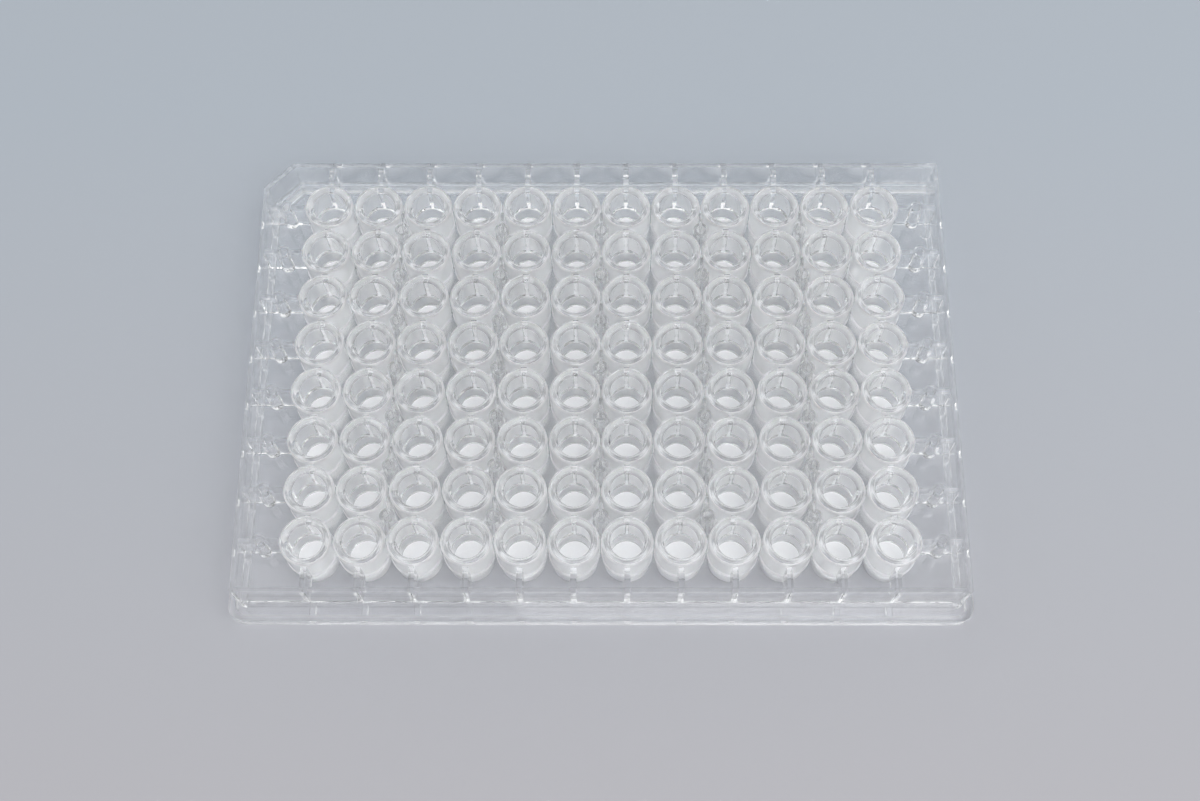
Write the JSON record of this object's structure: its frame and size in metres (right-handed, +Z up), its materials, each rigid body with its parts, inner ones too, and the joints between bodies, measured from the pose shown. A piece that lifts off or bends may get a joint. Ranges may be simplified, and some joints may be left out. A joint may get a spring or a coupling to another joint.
{
  "type": "well plate",
  "caption": "Clear filter well plate: open tubes in a grid of rows and columns, a white membrane disc in each foot, ribbed deck, skirt with a lip to stand on and one cut corner.",
  "frame": {"origin": "centre of the footprint, on the surface that the lip stands on", "axes": "+Z up out of the wells' mouths, X along the long side with column 1 at -X, Y along the short side with row A at +Y"},
  "size_m": [0.1278, 0.0854, 0.013],
  "materials": {
    "clear_plastic": "clear, colourless, polished moulded polystyrene",
    "membrane": "white, matt, fine-pored membrane"
  },
  "bodies": {
    "root": {"plate": "clear_plastic", "membranes_row_a": "membrane", "membranes_row_b": "membrane", "membranes_row_c": "membrane", "membranes_row_d": "membrane", "membranes_row_e": "membrane", "membranes_row_f": "membrane", "membranes_row_g": "membrane", "membranes_row_h": "membrane"}
  },
  "joints": []
}
